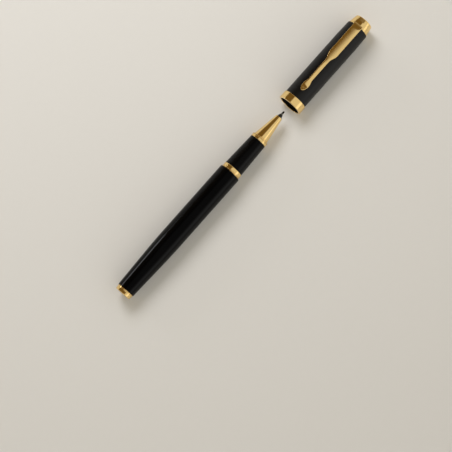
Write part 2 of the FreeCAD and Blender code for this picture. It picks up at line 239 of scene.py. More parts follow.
def fill(tree, node, inputs):
    """Gives a node's inputs their values. A node stands for the first of its outputs."""
    for key, value in inputs.items():
        if isinstance(value, bpy.types.Node):
            value = next(socket for socket in value.outputs if not socket.is_unavailable)
        if isinstance(value, bpy.types.NodeSocket):
            tree.links.new(value, node.inputs[key])
        else:
            node.inputs[key].default_value = value
    return node


def add(tree, kind, inputs=None, **settings):
    """Adds a node with its settings, then its inputs by name or index."""
    node = tree.nodes.new(kind)
    for name, value in settings.items():
        setattr(node, name, value)
    return fill(tree, node, inputs or {})


def linear(code, level=1.0):
    """Linear colour of an sRGB hex code, made lighter or darker by level."""
    parts = [int(code[i : i + 2], 16) / 255 for i in (1, 3, 5)]
    light = [c / 12.92 if c <= 0.04045 else ((c + 0.055) / 1.055) ** 2.4 for c in parts]
    return tuple(level * c for c in light) + (1.0,)


def finish_material(name):
    """A new material with its tree, its Principled node and the piece's own coordinates."""
    material = bpy.data.materials.new(name)
    material.use_nodes = True
    tree = material.node_tree
    shader = tree.nodes["Principled BSDF"]
    place = add(tree, "ShaderNodeTexCoord").outputs["Object"]
    return material, tree, shader, place


RELIEF = 0.01 * MM


def surface(tree, shader, tone, dull, relief, height=RELIEF):
    """Drives a shader from patterns.

    tone is a pattern and the colours at its ends. dull is a pattern, its range, and the roughness
    at each end of that. relief is a pattern and the strength of the bump that it gives.
    """
    mixed = add(
        tree, "ShaderNodeMix", {"Factor": tone[0], "A": tone[1], "B": tone[2]}, data_type="RGBA"
    )
    low, high, smooth, rough = dull[1:]
    worn = add(
        tree, "ShaderNodeMapRange",
        {"Value": dull[0], "From Min": low, "From Max": high, "To Min": smooth, "To Max": rough},
    )
    bump = add(
        tree, "ShaderNodeBump", {"Height": relief[0], "Strength": relief[1], "Distance": height}
    )
    fill(tree, shader, {"Base Color": mixed, "Roughness": worn, "Normal": bump})


def clear_coat(tree, shader, weight, roughness):
    """Covers a finish with a polished clear film that mirrors more where it is seen aslant."""
    facing = add(tree, "ShaderNodeLayerWeight", {"Blend": 0.5}).outputs["Facing"]
    coat_and_dark_tip_share = add(
        tree, "ShaderNodeMapRange",
        {"Value": facing, "From Min": 0.05, "From Max": 0.13, "To Min": 0.0, "To Max": weight},
    )
    fill(tree, shader, {"Coat Weight": coat_and_dark_tip_share, "Coat IOR": 1.5, "Coat Roughness": roughness})


def gold_plate():
    """Gold plating over polished brass: mirror-bright and warm, with faint wipe marks."""
    material, tree, shader, place = finish_material("gold_plated_brass")
    # The plating thins over a few millimetres, which the eye sees as a slow drift in warmth.
    drift = add(tree, "ShaderNodeTexNoise", {"Vector": place, "Scale": 1 / (6 * MM), "Detail": 2.0})
    # Wipe marks about 0.7 mm across dull the polish here and there.
    wipe = add(
        tree, "ShaderNodeTexNoise", {"Vector": place, "Scale": 1 / (0.7 * MM), "Detail": 4.0}
    )
    # Turning lines run round the pen, so they change along X only. They are 0.25 mm apart.
    lines = add(
        tree, "ShaderNodeMapping", {"Vector": place, "Scale": (1 / (0.25 * MM), 20.0, 20.0)}
    )
    cut = add(tree, "ShaderNodeTexNoise", {"Vector": lines, "Scale": 1.0, "Detail": 1.0})
    tone = (drift, linear(colours().gold_deep), linear(colours().gold))
    surface(tree, shader, tone, (wipe, 0.35, 0.75, 0.07, 0.15), (cut, 0.06))
    fill(tree, shader, {"Metallic": 1.0})
    return material


def gloss_lacquer():
    """Gloss lacquer sprayed and polished over a brass tube: near-black and wet-looking."""
    material, tree, shader, place = finish_material("gloss_black_lacquer")
    haze = add(tree, "ShaderNodeTexNoise", {"Vector": place, "Scale": 1 / (9 * MM), "Detail": 3.0})
    # Handling leaves hairlines some 0.4 mm apart that break the reflection's edge.
    hair = add(
        tree, "ShaderNodeMapping",
        {"Vector": place, "Rotation": (0.0, 0.0, 0.5),
         "Scale": (60.0, 1 / (0.4 * MM), 1 / (0.4 * MM))},
    )
    lines = add(tree, "ShaderNodeTexNoise", {"Vector": hair, "Scale": 1.0, "Detail": 2.0})
    # Orange peel is a swell about 1.6 mm across and a few micrometres high.
    peel = add(
        tree, "ShaderNodeTexNoise", {"Vector": place, "Scale": 1 / (1.6 * MM), "Detail": 1.0}
    )
    tone = (haze, linear(colours().barrel), linear("#050506"))
    surface(tree, shader, tone, (lines, 0.55, 0.8, 0.1, 0.2), (peel, 0.12), 1.5 * RELIEF)
    fill(tree, shader, {"IOR": 1.45, "Specular IOR Level": 0.045})
    clear_coat(tree, shader, 0.19, 0.12)
    return material


def satin_lacquer():
    """Satin lacquer over a blasted brass cap: soft wide highlights from a fine even grain."""
    material, tree, shader, place = finish_material("satin_black_lacquer")
    # The blasted grain is about 0.08 mm; drawn at 0.2 mm so that it shows.
    grain = add(
        tree, "ShaderNodeTexNoise", {"Vector": place, "Scale": 1 / (0.2 * MM), "Detail": 3.0}
    )
    polish = add(
        tree, "ShaderNodeTexNoise", {"Vector": place, "Scale": 1 / (5 * MM), "Detail": 3.0}
    )
    tone = (grain, linear(colours().cap), linear("#0C0C0D"))
    surface(tree, shader, tone, (polish, 0.3, 0.7, 0.36, 0.46), (grain, 0.2))
    fill(tree, shader, {"IOR": 1.48, "Specular IOR Level": 0.3})
    return material


def moulded_grip():
    """Moulded ABS, polished by the hand: black with a broad soft gloss."""
    material, tree, shader, place = finish_material("moulded_black_abs")
    worn = add(tree, "ShaderNodeTexNoise", {"Vector": place, "Scale": 1 / (4 * MM), "Detail": 4.0})
    # The mould's texture is about 0.3 mm across.
    skin = add(
        tree, "ShaderNodeTexNoise", {"Vector": place, "Scale": 1 / (0.3 * MM), "Detail": 2.0}
    )
    tone = (worn, linear(colours().grip), linear("#080809"))
    surface(tree, shader, tone, (worn, 0.3, 0.7, 0.2, 0.32), (skin, 0.1))
    fill(tree, shader, {"IOR": 1.45, "Specular IOR Level": 0.06})
    clear_coat(tree, shader, 0.22, 0.24)
    return material


def turned_metal(name, code, low, high):
    """A bar turned on a lathe: fine rings run round it and spread the highlight along it."""
    material, tree, shader, place = finish_material(name)
    rings = add(
        tree, "ShaderNodeMapping", {"Vector": place, "Scale": (1 / (0.12 * MM), 30.0, 30.0)}
    )
    cut = add(tree, "ShaderNodeTexNoise", {"Vector": rings, "Scale": 1.0, "Detail": 3.0})
    tone = (cut, linear(code, 0.86), linear(code))
    surface(tree, shader, tone, (cut, 0.3, 0.7, low, high), (cut, 0.25))
    fill(tree, shader, {"Metallic": 1.0})
    return material


def moulded_plastic(name, code, low, high):
    """Injection-moulded polypropylene or rubber: even colour, dulled by a fine skin."""
    material, tree, shader, place = finish_material(name)
    flow = add(tree, "ShaderNodeTexNoise", {"Vector": place, "Scale": 1 / (3 * MM), "Detail": 3.0})
    skin = add(
        tree, "ShaderNodeTexNoise", {"Vector": place, "Scale": 1 / (0.2 * MM), "Detail": 2.0}
    )
    tone = (flow, linear(code), linear(code, 1.35))
    surface(tree, shader, tone, (flow, 0.3, 0.7, low, high), (skin, 0.15))
    fill(tree, shader, {"IOR": 1.49})
    return material


# Where the point's painted dark reflection begins, and where it covers the point fully.
PAINTED_DARK_TIP_STARTS = 120.35 * MM
PAINTED_DARK_TIP_COVERS = 120.85 * MM


def point_with_painted_dark_tip():
    """Turned stainless point: bright rings behind, and a painted dark reflection darkening its last
    millimetre.
    """
    material, tree, shader, place = finish_material("stainless_steel_painted_dark_tip")
    rings = add(tree, "ShaderNodeMapping", {"Vector": place, "Scale": (1 / (0.1 * MM), 60.0, 60.0)})
    cut = add(tree, "ShaderNodeTexNoise", {"Vector": rings, "Scale": 1.0, "Detail": 2.0})
    bare = add(
        tree, "ShaderNodeMix",
        {"Factor": cut, "A": linear("#85847F"), "B": linear(colours().steel)}, data_type="RGBA",
    )
    # The edge of the painted dark reflection on the tip wanders by about 0.3 mm.
    dark_tip_wander = add(
        tree, "ShaderNodeTexNoise", {"Vector": place, "Scale": 1 / (0.3 * MM), "Detail": 2.0}
    )
    along = add(tree, "ShaderNodeSeparateXYZ", {"Vector": place}).outputs["X"]
    edge = add(tree, "ShaderNodeMath", {0: dark_tip_wander, 1: 0.5 * MM, 2: along}, operation="MULTIPLY_ADD")
    coat_and_dark_tip_share = add(
        tree, "ShaderNodeMapRange", {"Value": edge, "From Min": PAINTED_DARK_TIP_STARTS, "From Max": PAINTED_DARK_TIP_COVERS}
    )
    # The near-black #0D0D10 on the tip is a painted dark reflection, and the same share makes the
    # tip a little rougher.
    surface(tree, shader, (coat_and_dark_tip_share, bare, linear("#0D0D10")), (coat_and_dark_tip_share, 0.0, 1.0, 0.2, 0.42), (cut, 0.2))
    fill(tree, shader, {"Metallic": 1.0})
    return material


MAKERS = {
    "gold_plate": gold_plate,
    "barrel_lacquer": gloss_lacquer,
    "cap_lacquer": satin_lacquer,
    "grip_plastic": moulded_grip,
    "brass_turned": lambda: turned_metal("turned_brass", colours().brass, 0.22, 0.38),
    "spring_steel": lambda: turned_metal("drawn_spring_steel", colours().steel, 0.2, 0.32),
    "refill_metal": lambda: turned_metal("drawn_steel_tube", colours().steel, 0.24, 0.36),
    "point_steel": point_with_painted_dark_tip,
    "carbide": lambda: turned_metal("polished_carbide", "#3A3A3E", 0.1, 0.16),
    "inner_plastic": lambda: moulded_plastic("moulded_polypropylene", colours().lining, 0.4, 0.55),
    "refill_plastic": lambda: moulded_plastic("moulded_black_acetal", "#0A0A0B", 0.18, 0.3),
    "seal_rubber": lambda: moulded_plastic("moulded_nitrile_rubber", "#141414", 0.5, 0.65),
    "ink_fibre": lambda: moulded_plastic("inked_polyester_fibre", colours().ink, 0.7, 0.85),
}


def finish_of(slot):
    """The material of a record slot, made once."""
    key = f"pen_{slot}"
    held = bpy.context.scene.get(key)
    if held is None:
        held = MAKERS[slot]()
        bpy.context.scene[key] = held
    return held


# ---------------------------------------------------------------- geometry trees

def new_tree(name, numbers):
    """A geometry tree with a Geometry input and output, number inputs and a Material input."""
    tree = bpy.data.node_groups.new(name, "GeometryNodeTree")
    face = tree.interface
    face.new_socket("Geometry", in_out="INPUT", socket_type="NodeSocketGeometry")
    for label, kind, default in numbers:
        socket = face.new_socket(label, in_out="INPUT", socket_type=kind)
        socket.default_value = default
    face.new_socket("Material", in_out="INPUT", socket_type="NodeSocketMaterial")
    face.new_socket("Geometry", in_out="OUTPUT", socket_type="NodeSocketGeometry")
    inputs = add(tree, "NodeGroupInput").outputs
    return tree, inputs


def close_tree(tree, geometry, inputs):
    whole = add(tree, "GeometryNodeRealizeInstances", {"Geometry": geometry})
    smooth = add(tree, "GeometryNodeSetShadeSmooth", {"Geometry": whole})
    coated = add(
        tree, "GeometryNodeSetMaterial",
        {"Geometry": smooth, "Material": inputs["Material"]},
    )
    add(tree, "NodeGroupOutput", {"Geometry": coated})
    return tree


def around(tree, turns, x, out):
    """A point at x along the axis and out from it, turned about X from straight up."""
    angle = add(tree, "ShaderNodeMath", {0: turns, 1: math.tau}, operation="MULTIPLY")
    cosine = add(tree, "ShaderNodeMath", {0: angle}, operation="COSINE")
    sine = add(tree, "ShaderNodeMath", {0: angle}, operation="SINE")
    across = add(tree, "ShaderNodeMath", {0: sine, 1: out}, operation="MULTIPLY")
    upward = add(tree, "ShaderNodeMath", {0: cosine, 1: out}, operation="MULTIPLY")
    return add(tree, "ShaderNodeCombineXYZ", {"X": x, "Y": across, "Z": upward})


def turning_tree():
    """Turns an outline, given as points (x, 0, r) in order, once round the X axis."""
    tree, inputs = new_tree("turning", [("Segments", "NodeSocketInt", FACETS)])
    count = add(
        tree, "GeometryNodeAttributeDomainSize", {"Geometry": inputs["Geometry"]}, component="MESH"
    )
    rows = count.outputs["Point Count"]
    columns = add(tree, "ShaderNodeMath", {0: inputs["Segments"], 1: 1.0}, operation="ADD")
    sheet = add(
        tree, "GeometryNodeMeshGrid",
        {"Size X": 1.0, "Size Y": 1.0, "Vertices X": columns, "Vertices Y": rows},
    )
    index = add(tree, "GeometryNodeInputIndex").outputs["Index"]
    row = add(tree, "ShaderNodeMath", {0: index, 1: rows}, operation="MODULO")
    quotient = add(tree, "ShaderNodeMath", {0: index, 1: rows}, operation="DIVIDE")
    column = add(tree, "ShaderNodeMath", {0: quotient}, operation="FLOOR")
    share = add(tree, "ShaderNodeMath", {0: column, 1: inputs["Segments"]}, operation="DIVIDE")
    position = add(tree, "GeometryNodeInputPosition").outputs["Position"]
    picked = add(
        tree, "GeometryNodeSampleIndex",
        {"Geometry": inputs["Geometry"], "Value": position, "Index": row},
        data_type="FLOAT_VECTOR", domain="POINT",
    )
    parts = add(tree, "ShaderNodeSeparateXYZ", {"Vector": picked}).outputs
    point = around(tree, share, parts["X"], parts["Z"])
    moved = add(tree, "GeometryNodeSetPosition", {"Geometry": sheet, "Position": point})
    merged = add(tree, "GeometryNodeMergeByDistance", {"Geometry": moved, "Distance": MERGE})
    return close_tree(tree, merged, inputs)


def winding_tree():
    """Winds a round wire about the X axis, closer at its ends by the Closing share."""
    tree, inputs = new_tree("winding", [
        ("Start", "NodeSocketFloat", 0.0),
        ("End", "NodeSocketFloat", 10 * MM),
        ("Turns", "NodeSocketFloat", 8.0),
        ("Radius", "NodeSocketFloat", 2.5 * MM),
        ("Wire", "NodeSocketFloat", 0.25 * MM),
        ("Closing", "NodeSocketFloat", 0.0),
        ("Steps", "NodeSocketInt", 40),
        ("Sides", "NodeSocketInt", 16),
    ])
    count = add(
        tree, "ShaderNodeMath", {0: inputs["Turns"], 1: inputs["Steps"]}, operation="MULTIPLY"
    )
    line = add(tree, "GeometryNodeCurvePrimitiveLine")
    dense = add(tree, "GeometryNodeResampleCurve", {"Curve": line, "Count": count}, mode="COUNT")
    along = add(tree, "GeometryNodeSplineParameter").outputs["Factor"]
    eased = add(tree, "ShaderNodeMapRange", {"Value": along}, interpolation_type="SMOOTHSTEP")
    share = add(
        tree, "ShaderNodeMix",
        {"Factor": inputs["Closing"], 2: along, 3: eased},
        data_type="FLOAT",
    )
    station = add(
        tree, "ShaderNodeMapRange",
        {"Value": share, "To Min": inputs["Start"], "To Max": inputs["End"]},
    )
    turns = add(tree, "ShaderNodeMath", {0: along, 1: inputs["Turns"]}, operation="MULTIPLY")
    point = around(tree, turns, station, inputs["Radius"])
    moved = add(tree, "GeometryNodeSetPosition", {"Geometry": dense, "Position": point})
    wire = add(
        tree, "GeometryNodeCurvePrimitiveCircle",
        {"Resolution": inputs["Sides"], "Radius": inputs["Wire"]},
    )
    swept = add(
        tree, "GeometryNodeCurveToMesh",
        {"Curve": moved, "Profile Curve": wire, "Fill Caps": True},
    )
    return close_tree(tree, swept, inputs)


def tree_of(name, maker):
    return bpy.data.node_groups.get(name) or maker()


def grown(name, source, tree, material, **values):
    """Runs a geometry tree on a mesh and keeps the result as a plain mesh object."""
    seed = bpy.data.objects.new(name + "_seed", source)
    bpy.context.scene.collection.objects.link(seed)
    modifier = seed.modifiers.new("make", "NODES")
    modifier.node_group = tree
    wanted = {key.replace("_", " ").title(): value for key, value in values.items()}
    wanted["Material"] = material
    for item in tree.interface.items_tree:
        if item.in_out == "INPUT" and item.name in wanted:
            modifier[item.identifier] = wanted[item.name]
    held = seed.evaluated_get(bpy.context.evaluated_depsgraph_get())
    mesh = bpy.data.meshes.new_from_object(held)
    bpy.data.objects.remove(seed)
    bpy.data.meshes.remove(source)
    return placed(name, mesh)


def placed(name, mesh):
    """Turns a mesh's faces outwards, marks its sharp edges and puts it in the scene."""
    work = bmesh.new()
    work.from_mesh(mesh)
    bmesh.ops.recalc_face_normals(work, faces=work.faces)
    if work.calc_volume(signed=True) < 0:
        bmesh.ops.reverse_faces(work, faces=work.faces)
    work.to_mesh(mesh)
    work.free()
    mesh.shade_smooth()
    mesh.set_sharp_from_angle(angle=SHARP)
    mesh.name = name
    piece = bpy.data.objects.new(name, mesh)
    bpy.context.scene.collection.objects.link(piece)
    return piece


# ---------------------------------------------------------------- outlines

ARC_STEPS = 6
SHOULDER_STEPS = 24
SUPPORT = 0.6


def curve(start, knee, end, steps):
    """Points of the smooth curve from start to end that is drawn round a knee."""
    shares = [step / steps for step in range(steps + 1)]
    return [start.lerp(knee, t).lerp(knee.lerp(end, t), t) for t in shares]


def rounded(corners, closed):
    """Points of an outline of (x, r) or (x, r, rounding) corners.

    A rounding has a support point on each side, so that the faces beside it shade flat.
    """
    points = []
    count = len(corners)
    for i, corner in enumerate(corners):
        here = Vector(corner[:2])
        turn = corner[2] if len(corner) > 2 else 0.0
        if turn == 0.0:
            points.append(here)
            continue
        before = (Vector(corners[i - 1][:2]) - here).normalized()
        after = (Vector(corners[(i + 1) % count][:2]) - here).normalized()
        half = before.angle(after) / 2
        reach = turn / math.tan(half)
        start, end = here + before * reach, here + after * reach
        points.append(start + before * reach * SUPPORT)
        points += curve(start, here, end, ARC_STEPS)
        points.append(end + after * reach * SUPPORT)
    if closed:
        points.append(points[0].copy())
    return points


def outline_mesh(points):
    mesh = bpy.data.meshes.new("outline")
    mesh.from_pydata([(p.x, 0.0, p.y) for p in points], [], [])
    return mesh


def turned(name, corners, slot, body, node, segments=FACETS):
    """A turned piece. It is hollow unless its outline starts and ends on the axis."""
    solid = corners[0][1] == 0.0 and corners[-1][1] == 0.0
    points = rounded(corners, closed=not solid)
    tree = tree_of("turning", turning_tree)
    piece = grown(name, outline_mesh(points), tree, finish_of(slot), segments=segments)
    return dressed(piece, body, node)


def wound(name, slot, body, node, **values):
    source = bpy.data.meshes.new("wire")
    tree = tree_of("winding", winding_tree)
    piece = grown(name, source, tree, finish_of(slot), **values)
    return dressed(piece, body, node)


def dressed(piece, body, node):
    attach(piece, body)
    if node:
        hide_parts(node)
    return piece


def bead(rim, way, outer, drop):
    """Corners of the bead at a ring's rim and of the groove beside it, going from the rim by way.

    Past the groove the ring is lower than the bead by drop.
    """
    s = sizes()
    step, foot = rim + way * s.bead, rim + way * (s.bead + s.groove)
    deep = outer - s.groove_depth
    return [
        (rim, outer, s.edge),
        (step, outer, s.edge),
        (step, deep, CRISP),
        (foot, deep, CRISP),
        (foot, outer - drop, EASED),
    ]


def mesh_of(work, name, material):
    """Ends a bmesh as a mesh of one material."""
    mesh = bpy.data.meshes.new(name)
    work.to_mesh(mesh)
    work.free()
    mesh.materials.append(material)
    return mesh


# How finely the wire of a screw thread is wound.
THREAD = {"sides": 8, "steps": 64}


class PenBuilder:
    """What every building operator shares."""

    bl_options = {"REGISTER", "UNDO"}


# ---------------------------------------------------------------- barrel

class PEN_OT_barrel(PenBuilder, bpy.types.Operator):
    """Build the lacquered barrel, its lining and its threaded bush"""

    bl_idname = "pen.barrel"
    bl_label = "Barrel"

    def execute(self, context):
        s = sizes()
        tail, mouth, outer = span("barrel_shell")
        inner = outer - s.barrel_wall
        tail_inner = s.tail_radius - s.barrel_wall
        slope = (outer - s.tail_radius) / (s.taper_knee - tail)
        start = Vector((s.taper_end, outer - slope * (s.taper_knee - s.taper_end)))
        knee = Vector((s.taper_knee, outer))
        end = Vector((s.taper_start, outer))
        shell = [(tail, s.tail_radius, BROKEN)]
        shell += [tuple(point) for point in curve(start, knee, end, SHOULDER_STEPS)]
        shell += [(mouth, outer, s.edge), (mouth, inner), (s.taper_knee, inner), (tail, tail_inner)]
        turned("barrel_shell_lacquered", shell, "barrel_lacquer", "barrel", "barrel_shell")

        socket = radius("tail_plug")
        plug_end = span("tail_plug")[1]
        bush_start, bush_end, bush_outer = span("barrel_thread_bush")
        lining = [
            (tail, tail_inner),
            (s.taper_knee, inner),
            (mouth, inner),
            (mouth, bush_outer),
            (bush_start, bush_outer),
            (bush_start, s.barrel_bore),
            (s.taper_knee, s.barrel_bore),
            (s.chamber_end, s.chamber),
            (plug_end, s.chamber),
            (plug_end, socket),
            (tail, socket),
        ]
        turned("barrel_lining_moulded", lining, "inner_plastic", "barrel", "barrel_lining")

        root = s.bush_bore + s.thread_depth
        lead = 0.3 * MM
        bush = [
            (bush_start, bush_outer),
            (bush_end, bush_outer),
            (bush_end, root + lead),
            (bush_end - lead, root),
            (bush_start, root),
        ]
        turned("thread_bush_brass", bush, "brass_turned", "barrel", "barrel_thread_bush")
        wound(
            "thread_bush_thread", "brass_turned", "barrel", None,
            start=bush_start + lead, end=bush_end - 2 * lead,
            turns=(bush_end - bush_start) / s.thread_pitch, radius=root, wire=s.thread_depth,
            **THREAD,
        )
        return {"FINISHED"}


class PEN_OT_tail(PenBuilder, bpy.types.Operator):
    """Build the plated tail ring and the plug that closes the barrel"""

    bl_idname = "pen.tail"
    bl_label = "Tail ring and plug"

    def execute(self, context):
        s = sizes()
        start, end, outer = span("tail_ring")
        _, plug_end, shank = span("tail_plug")
        head = s.plug_head
        fit = head - 0.02 * MM
        ring = [
            (start, head, BROKEN),
            (start, outer - s.tail_taper, s.soft_edge),
            *reversed(bead(end, -1, outer, 0.03 * MM)),
            (end, head),
        ]
        turned("tail_ring_plated", ring, "gold_plate", "barrel", "tail_ring")
        plug = [
            (start, 0.0),
            (start, fit, SMOOTH),
            (end, fit),
            (end, shank),
            (plug_end, shank, BLUNT),
            (plug_end, 0.0),
        ]
        turned("tail_plug_moulded", plug, "grip_plastic", "barrel", "tail_plug")
        return {"FINISHED"}


# Share of the way from an even coil to one whose ends lie flat.
CLOSING = 0.62


class PEN_OT_spring(PenBuilder, bpy.types.Operator):
    """Wind the spring that pushes the refill forward"""

    bl_idname = "pen.spring"
    bl_label = "Refill spring"

    def execute(self, context):
        s = sizes()
        low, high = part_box("refill_spring")
        coil = (high[1] - low[1]) / 2 - s.spring_wire
        start, end = low[0] + s.spring_wire, high[0] - s.spring_wire
        spring = wound(
            "refill_spring_wound", "spring_steel", "barrel", "refill_spring",
            start=start, end=end, turns=s.spring_turns, radius=coil, wire=s.spring_wire,
            closing=CLOSING,
        )
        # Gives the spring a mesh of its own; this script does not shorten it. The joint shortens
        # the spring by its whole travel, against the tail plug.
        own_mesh(spring)
        return {"FINISHED"}


# ---------------------------------------------------------------- section

SEAL_POINTS = 16


class PEN_OT_section(PenBuilder, bpy.types.Operator):
    """Build the brass core with its thread, and the seal ring"""

    bl_idname = "pen.section"
    bl_label = "Section core and seal"

    def execute(self, context):
        s = sizes()
        rear, front, spigot = span("section_core")
        step = span("joint_ring")[1]
        seal_start, seal_end, _ = span("seal_ring")
        lead, land, fade = 0.5 * MM, 0.4 * MM, 0.2 * MM
        root = spigot - s.thread_depth
        floor = spigot - 2 * s.thread_depth
        plain = seal_start - land
        core = [
            (rear, s.core_bore, EASED),
            (rear, root - 0.1 * MM, EASED),
            (rear + lead, root),
            (plain, root),
            (plain, spigot, KEEN),
            (seal_start, spigot),
            (seal_start, floor),
            (seal_end, floor),
            (seal_end, spigot),
            (step, spigot),
            (step, s.core_body),
            (front, s.core_body),
            (front, s.core_bore),
        ]
        turned("section_core_brass", core, "brass_turned", "section", "section_core")
        wound(
            "section_core_thread", "brass_turned", "section", None,
            start=rear + lead, end=plain - fade,
            turns=(plain - rear - lead) / s.thread_pitch, radius=root, wire=s.thread_depth,
            **THREAD,
        )
        middle = (seal_start + seal_end) / 2
        _, _, seal_outer = span("seal_ring")
        half = (seal_end - seal_start) / 2
        ring = []
        for k in range(SEAL_POINTS):
            a = math.tau * k / SEAL_POINTS
            ring.append((middle + half * math.cos(a), seal_outer - half + half * math.sin(a)))
        turned("seal_ring_rubber", ring, "seal_rubber", "section", "seal_ring")
        return {"FINISHED"}


class PEN_OT_grip(PenBuilder, bpy.types.Operator):
    """Build the moulded grip sleeve"""

    bl_idname = "pen.grip"
    bl_label = "Grip"

    def execute(self, context):
        s = sizes()
        rear, front, outer = span("section_grip")
        nose = radius("nose_ring") - 0.15 * MM
        sleeve = [
            (rear, s.core_body),
            (rear, outer, s.edge),
            (front, nose, s.edge),
            (front, s.core_body),
        ]
        turned("grip_sleeve_moulded", sleeve, "grip_plastic", "section", "section_grip")
        return {"FINISHED"}


class PEN_OT_trim(PenBuilder, bpy.types.Operator):
    """Build the plated joint ring, nose ring and nose cone"""

    bl_idname = "pen.trim"
    bl_label = "Section trim"

    def execute(self, context):
        s = sizes()
        start, end, outer = span("joint_ring")
        spigot = radius("section_core")
        drop = 0.04 * MM
        joint = [
            (start, spigot),
            *bead(start, 1, outer, drop),
            (end, outer - drop, s.edge * 1.5),
            (end, spigot),
        ]
        turned("joint_ring_plated", joint, "gold_plate", "section", "joint_ring")

        start, end, outer = span("nose_ring")
        drop = 0.05 * MM
        nose = [
            (start, s.core_body),
            (start, outer - drop, s.edge),
            *reversed(bead(end, -1, outer, drop)),
            (end, s.core_body),
        ]
        turned("nose_ring_plated", nose, "gold_plate", "section", "nose_ring")

        rear, front, _ = span("nose_cone")
        shoulder = end
        mouth = front - s.cone_mouth
        neck = s.cone_rear - s.groove_depth
        step = 0.45 * MM
        fall = (s.cone_rear - s.cone_front) / (front - shoulder)
        cone = [
            (rear, s.cone_spigot_bore),
            (rear, s.core_bore, SMOOTH),
            (shoulder, s.core_bore),
            (shoulder, neck),
            (shoulder + step - 0.1 * MM, neck, CRISP),
            (shoulder + step, s.cone_rear - fall * step, CLEAN),
            (front, s.cone_front, SOFT),
            (front, s.cone_bore),
            (mouth, s.cone_bore),
            (s.cone_narrows, s.cone_spigot_bore),
        ]
        turned("nose_cone_plated", cone, "gold_plate", "section", "nose_cone")
        return {"FINISHED"}


# ---------------------------------------------------------------- refill

class PEN_OT_refill(PenBuilder, bpy.types.Operator):
    """Build the refill's tube and its front collar"""

    bl_idname = "pen.refill"
    bl_label = "Refill"

    def execute(self, context):
        s = sizes()
        rear, front, outer = span("refill_tube")
        bore = s.refill_bore
        low = outer - s.crimp
        tube = [(rear, bore), (rear, outer, SOFT)]
        # Two rolled crimps hold the rear plug, and one holds the collar.
        for x in (rear + 1.6 * MM, rear + 3.2 * MM, front - 2.2 * MM):
            tube += [(x, outer), (x + 0.25 * MM, low), (x + 0.55 * MM, low), (x + 0.8 * MM, outer)]
        tube += [(front, outer, FULL), (front, bore)]
        turned("refill_tube_steel", tube, "refill_metal", "refill", "refill_tube")

        start, tip, _ = span("refill_collar")
        feed = radius("ink_feed")
        housing_start, _, housing = span("point_housing")
        collar = [
            (start, feed),
            (start, bore),
            (front, bore),
            (front, s.collar_root),
            (s.collar_taper, s.collar_root),
            (s.neck_start, s.collar_neck),
            (s.neck_end, s.collar_neck, FULL),
            (tip, s.collar_tip, BROKEN),
            (tip, housing),
            (housing_start, housing),
            (housing_start, feed),
        ]
        turned(
            "refill_collar_moulded", collar, "refill_plastic", "refill", "refill_collar",
            SMALL_FACETS,
        )
        return {"FINISHED"}


BALL_STEPS = 32


class PEN_OT_point(PenBuilder, bpy.types.Operator):
    """Build the turned point and its writing ball"""

    bl_idname = "pen.point"
    bl_label = "Point and ball"

    def execute(self, context):
        start, end, outer = span("point_housing")
        low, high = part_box("writing_ball")
        ball = (high[1] - low[1]) / 2
        centre = (low[0] + high[0]) / 2
        lip = ball + 0.07 * MM
        housing = [
            (start, 0.0),
            (start, outer),
            (start + 3.2 * MM, outer, KEEN),
            (start + 3.5 * MM, outer - 0.06 * MM),
            (end, lip, LIP),
            (end, lip - 0.04 * MM),
            (centre - ball * 0.6, ball * 0.9),
            (centre - ball * 1.1, 0.0),
        ]
        turned(
            "point_housing_steel", housing, "point_steel", "refill", "point_housing", SMALL_FACETS
        )
        arc = []
        for k in range(BALL_STEPS + 1):
            a = math.pi * k / BALL_STEPS
            out = ball * math.sin(a) if 0 < k < BALL_STEPS else 0.0
            arc.append((centre - ball * math.cos(a), out))
        turned("writing_ball_carbide", arc, "carbide", "ball", "writing_ball", BALL_FACETS)
        return {"FINISHED"}


# ---------------------------------------------------------------- cap

class PEN_OT_cap(PenBuilder, bpy.types.Operator):
    """Build the lacquered cap shell and the inner cap"""

    bl_idname = "pen.cap"
    bl_label = "Cap"

    def execute(self, context):
        s = sizes()
        lip, end, outer = span("cap_shell")
        mouth, seat, _ = span("cap_mouth_band")
        nut_end = span("crown_nut")[1]
        shell = [
            (lip, s.cap_bore),
            (lip, s.cap_seat),
            (seat, s.cap_seat),
            (seat, outer, EASED),
            (mouth + s.cap_taper, outer, GENTLE),
            (end, s.cap_top, SMOOTH),
            (end, s.screw_shank),
            (nut_end, s.screw_shank),
            (nut_end, s.cap_bore),
        ]
        turned("cap_shell_lacquered", shell, "cap_lacquer", "cap", "cap_shell")

        start, liner_end, liner = span("cap_liner")
        inner = [
            (liner_end, 0.0),
            (liner_end, liner),
            (start, liner),
            (start, s.liner_mouth, FULL),
            (mouth + s.liner_step, s.liner_grip),
            (mouth + s.liner_narrow, s.liner_grip),
            (mouth + s.liner_narrow, s.liner_bore),
            (mouth + s.liner_closed, s.liner_bore, GENTLE),
            (mouth + s.liner_closed, 0.0),
        ]
        turned("cap_liner_moulded", inner, "inner_plastic", "cap", "cap_liner")
        return {"FINISHED"}


# Rings that the crown's dish is drawn with, and its share of the rim's radius.
DISH_STEPS = 12
DISH_SHARE = 0.985


